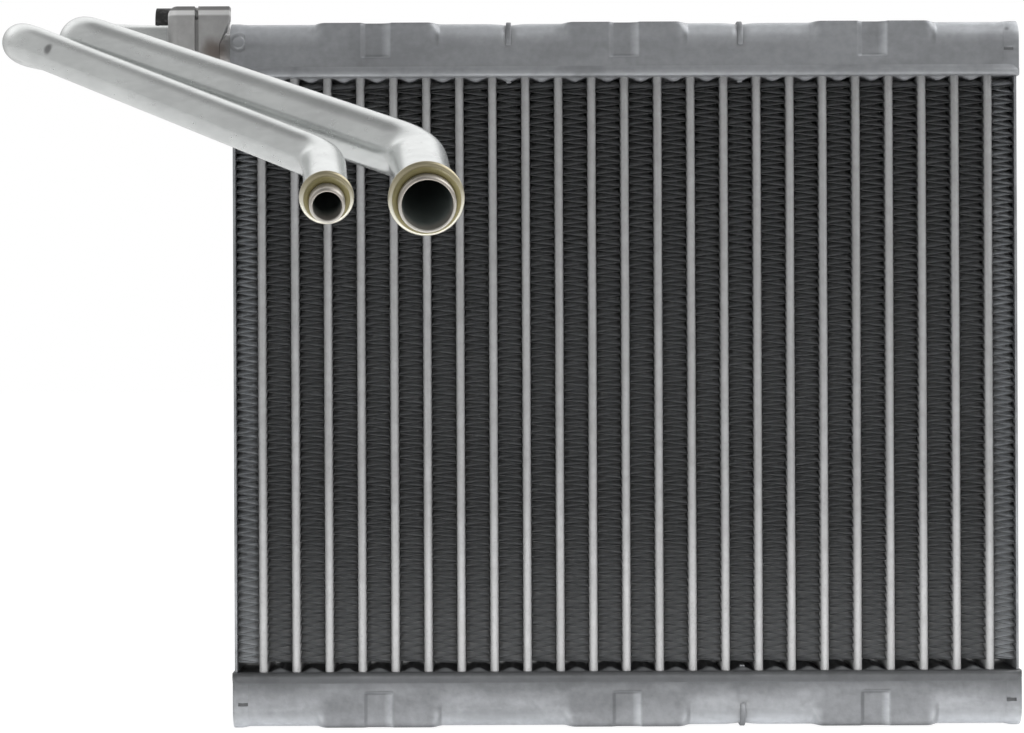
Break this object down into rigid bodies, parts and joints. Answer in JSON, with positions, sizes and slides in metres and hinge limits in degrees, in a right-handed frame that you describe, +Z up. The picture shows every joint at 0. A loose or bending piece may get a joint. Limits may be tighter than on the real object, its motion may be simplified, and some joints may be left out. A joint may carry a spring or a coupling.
{
  "type": "air conditioning evaporator core",
  "caption": "Flat-tube evaporator core with corrugated fins between a top and a bottom tank, and two bent pipes that come forward from one end of the top tank.",
  "frame": {"origin": "under the middle of the bottom tank, on the plane of the lobes and end caps that it stands on", "axes": "+X along the tanks, away from the end with the pipes; -Y is the front, where the pipe ends point; +Z up"},
  "size_m": [0.3217, 0.2001, 0.2323],
  "materials": {
    "tube": "matt rolled aluminium with flux bloom",
    "fin": "dark coated aluminium sheet",
    "tank": "matt pressed aluminium, grey from the brazing furnace",
    "pipe": "satin drawn aluminium",
    "block": "machined aluminium",
    "screw": "blackened steel",
    "ring": "olive rubber"
  },
  "bodies": {
    "root": {"tube_01": "tube", "tube_02": "tube", "tube_03": "tube", "tube_04": "tube", "tube_05": "tube", "tube_06": "tube", "tube_07": "tube", "tube_08": "tube", "tube_09": "tube", "tube_10": "tube", "tube_11": "tube", "tube_12": "tube", "tube_13": "tube", "tube_14": "tube", "tube_15": "tube", "tube_16": "tube", "tube_17": "tube", "tube_18": "tube", "tube_19": "tube", "tube_20": "tube", "tube_21": "tube", "tube_22": "tube", "tube_23": "tube", "fin_01": "fin", "fin_02": "fin", "fin_03": "fin", "fin_04": "fin", "fin_05": "fin", "fin_06": "fin", "fin_07": "fin", "fin_08": "fin", "fin_09": "fin", "fin_10": "fin", "fin_11": "fin", "fin_12": "fin", "fin_13": "fin", "fin_14": "fin", "fin_15": "fin", "fin_16": "fin", "fin_17": "fin", "fin_18": "fin", "fin_19": "fin", "fin_20": "fin", "fin_21": "fin", "fin_22": "fin", "fin_23": "fin", "fin_24": "fin", "side_plates": "tank", "top_header_plate": "tank", "bottom_header_plate": "tank", "top_tank_cover": "tank", "bottom_tank_cover": "tank", "end_caps": "tank", "partition_plates": "tank", "port_block": "block", "pipe_flange": "block", "clamp_screw": "screw", "liquid_pipe": "pipe", "suction_pipe": "pipe", "seal_rings": "ring"}
  },
  "joints": []
}
